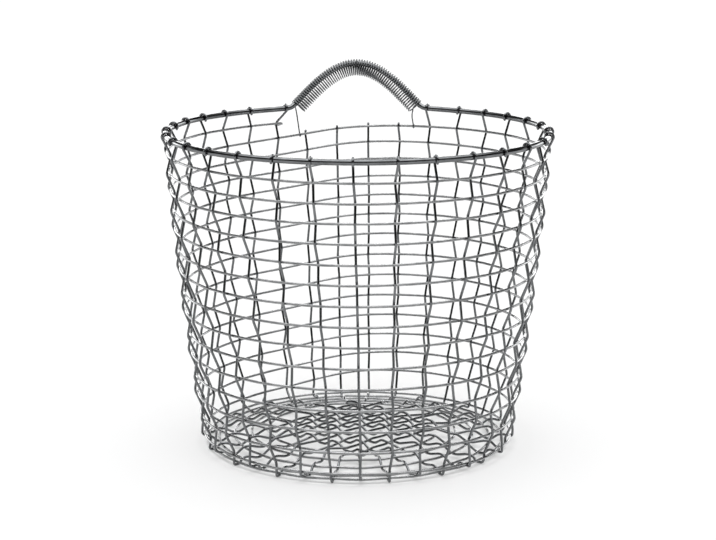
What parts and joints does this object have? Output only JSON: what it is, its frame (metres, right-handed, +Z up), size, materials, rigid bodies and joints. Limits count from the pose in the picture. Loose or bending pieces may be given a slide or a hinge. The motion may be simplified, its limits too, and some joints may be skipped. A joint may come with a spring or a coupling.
{
  "type": "wire basket",
  "caption": "Round open-weave steel wire basket, wider at the rim, with one arched handle wrapped in a loose wire coil at the back.",
  "frame": {"origin": "on the floor under the middle of the basket", "axes": "+Z up, +Y towards the handle at the back, +X to the right seen from the front"},
  "size_m": [0.3608, 0.364, 0.3401],
  "materials": {
    "rim_steel": "galvanised",
    "stake_steel": "galvanised",
    "weaver_steel": "galvanised",
    "coil_steel": "galvanised"
  },
  "bodies": {
    "root": {"rim_wire": "rim_steel", "handle_coil": "coil_steel", "long_wire_front_1": "stake_steel", "long_wire_front_2": "stake_steel", "long_wire_front_3": "stake_steel", "long_wire_front_4": "stake_steel", "long_wire_front_5": "stake_steel", "long_wire_front_6": "stake_steel", "long_wire_front_7": "stake_steel", "long_wire_front_8": "stake_steel", "long_wire_side_1": "stake_steel", "long_wire_side_2": "stake_steel", "long_wire_side_3": "stake_steel", "long_wire_side_4": "stake_steel", "long_wire_side_5": "stake_steel", "long_wire_side_6": "stake_steel", "long_wire_side_7": "stake_steel", "long_wire_side_8": "stake_steel", "odd_wire": "stake_steel", "side_weaver_1": "weaver_steel", "side_weaver_2": "weaver_steel", "side_weaver_3": "weaver_steel", "side_weaver_4": "weaver_steel", "side_weaver_5": "weaver_steel", "side_weaver_6": "weaver_steel", "side_weaver_7": "weaver_steel", "side_weaver_8": "weaver_steel", "side_weaver_9": "weaver_steel", "side_weaver_10": "weaver_steel", "side_weaver_11": "weaver_steel", "side_weaver_12": "weaver_steel", "side_weaver_13": "weaver_steel", "side_weaver_14": "weaver_steel", "side_weaver_15": "weaver_steel", "base_weaver": "weaver_steel"}
  },
  "joints": []
}
